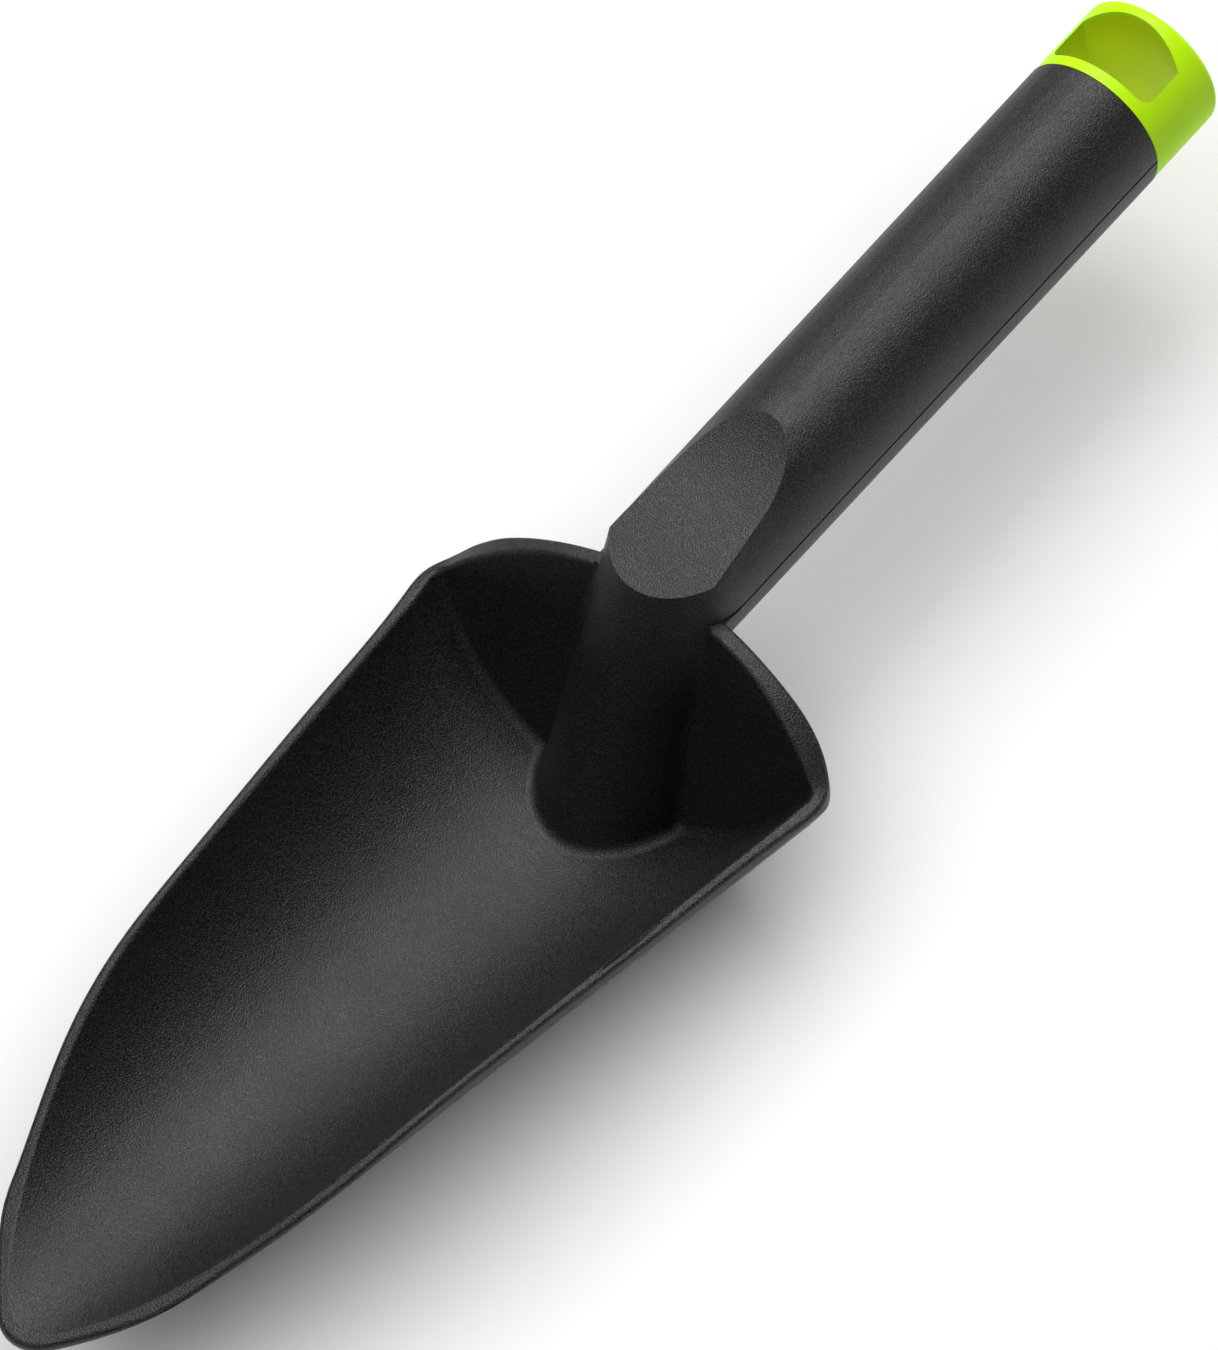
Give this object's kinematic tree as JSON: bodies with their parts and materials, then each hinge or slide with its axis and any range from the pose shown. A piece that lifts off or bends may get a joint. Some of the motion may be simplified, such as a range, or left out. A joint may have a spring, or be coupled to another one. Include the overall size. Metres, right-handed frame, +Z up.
{
  "type": "hand trowel",
  "caption": "Moulded plastic hand trowel: deep pointed scoop blade, round handle with a thumb rest, and a contrasting end cap with a hanging hole.",
  "frame": {"origin": "on the flat surface the trowel rests on, half way along its length and in its middle plane", "axes": "+X from the blade's tip to the capped end of the handle, +Z up out of the open scoop, +Y across"},
  "size_m": [0.332, 0.093, 0.0592],
  "materials": {
    "body_plastic": "fine spark-eroded grain, satin black",
    "cap_plastic": "smooth, matte, lime green"
  },
  "bodies": {
    "root": {"trowel_body": "body_plastic", "end_cap": "cap_plastic"}
  },
  "joints": []
}
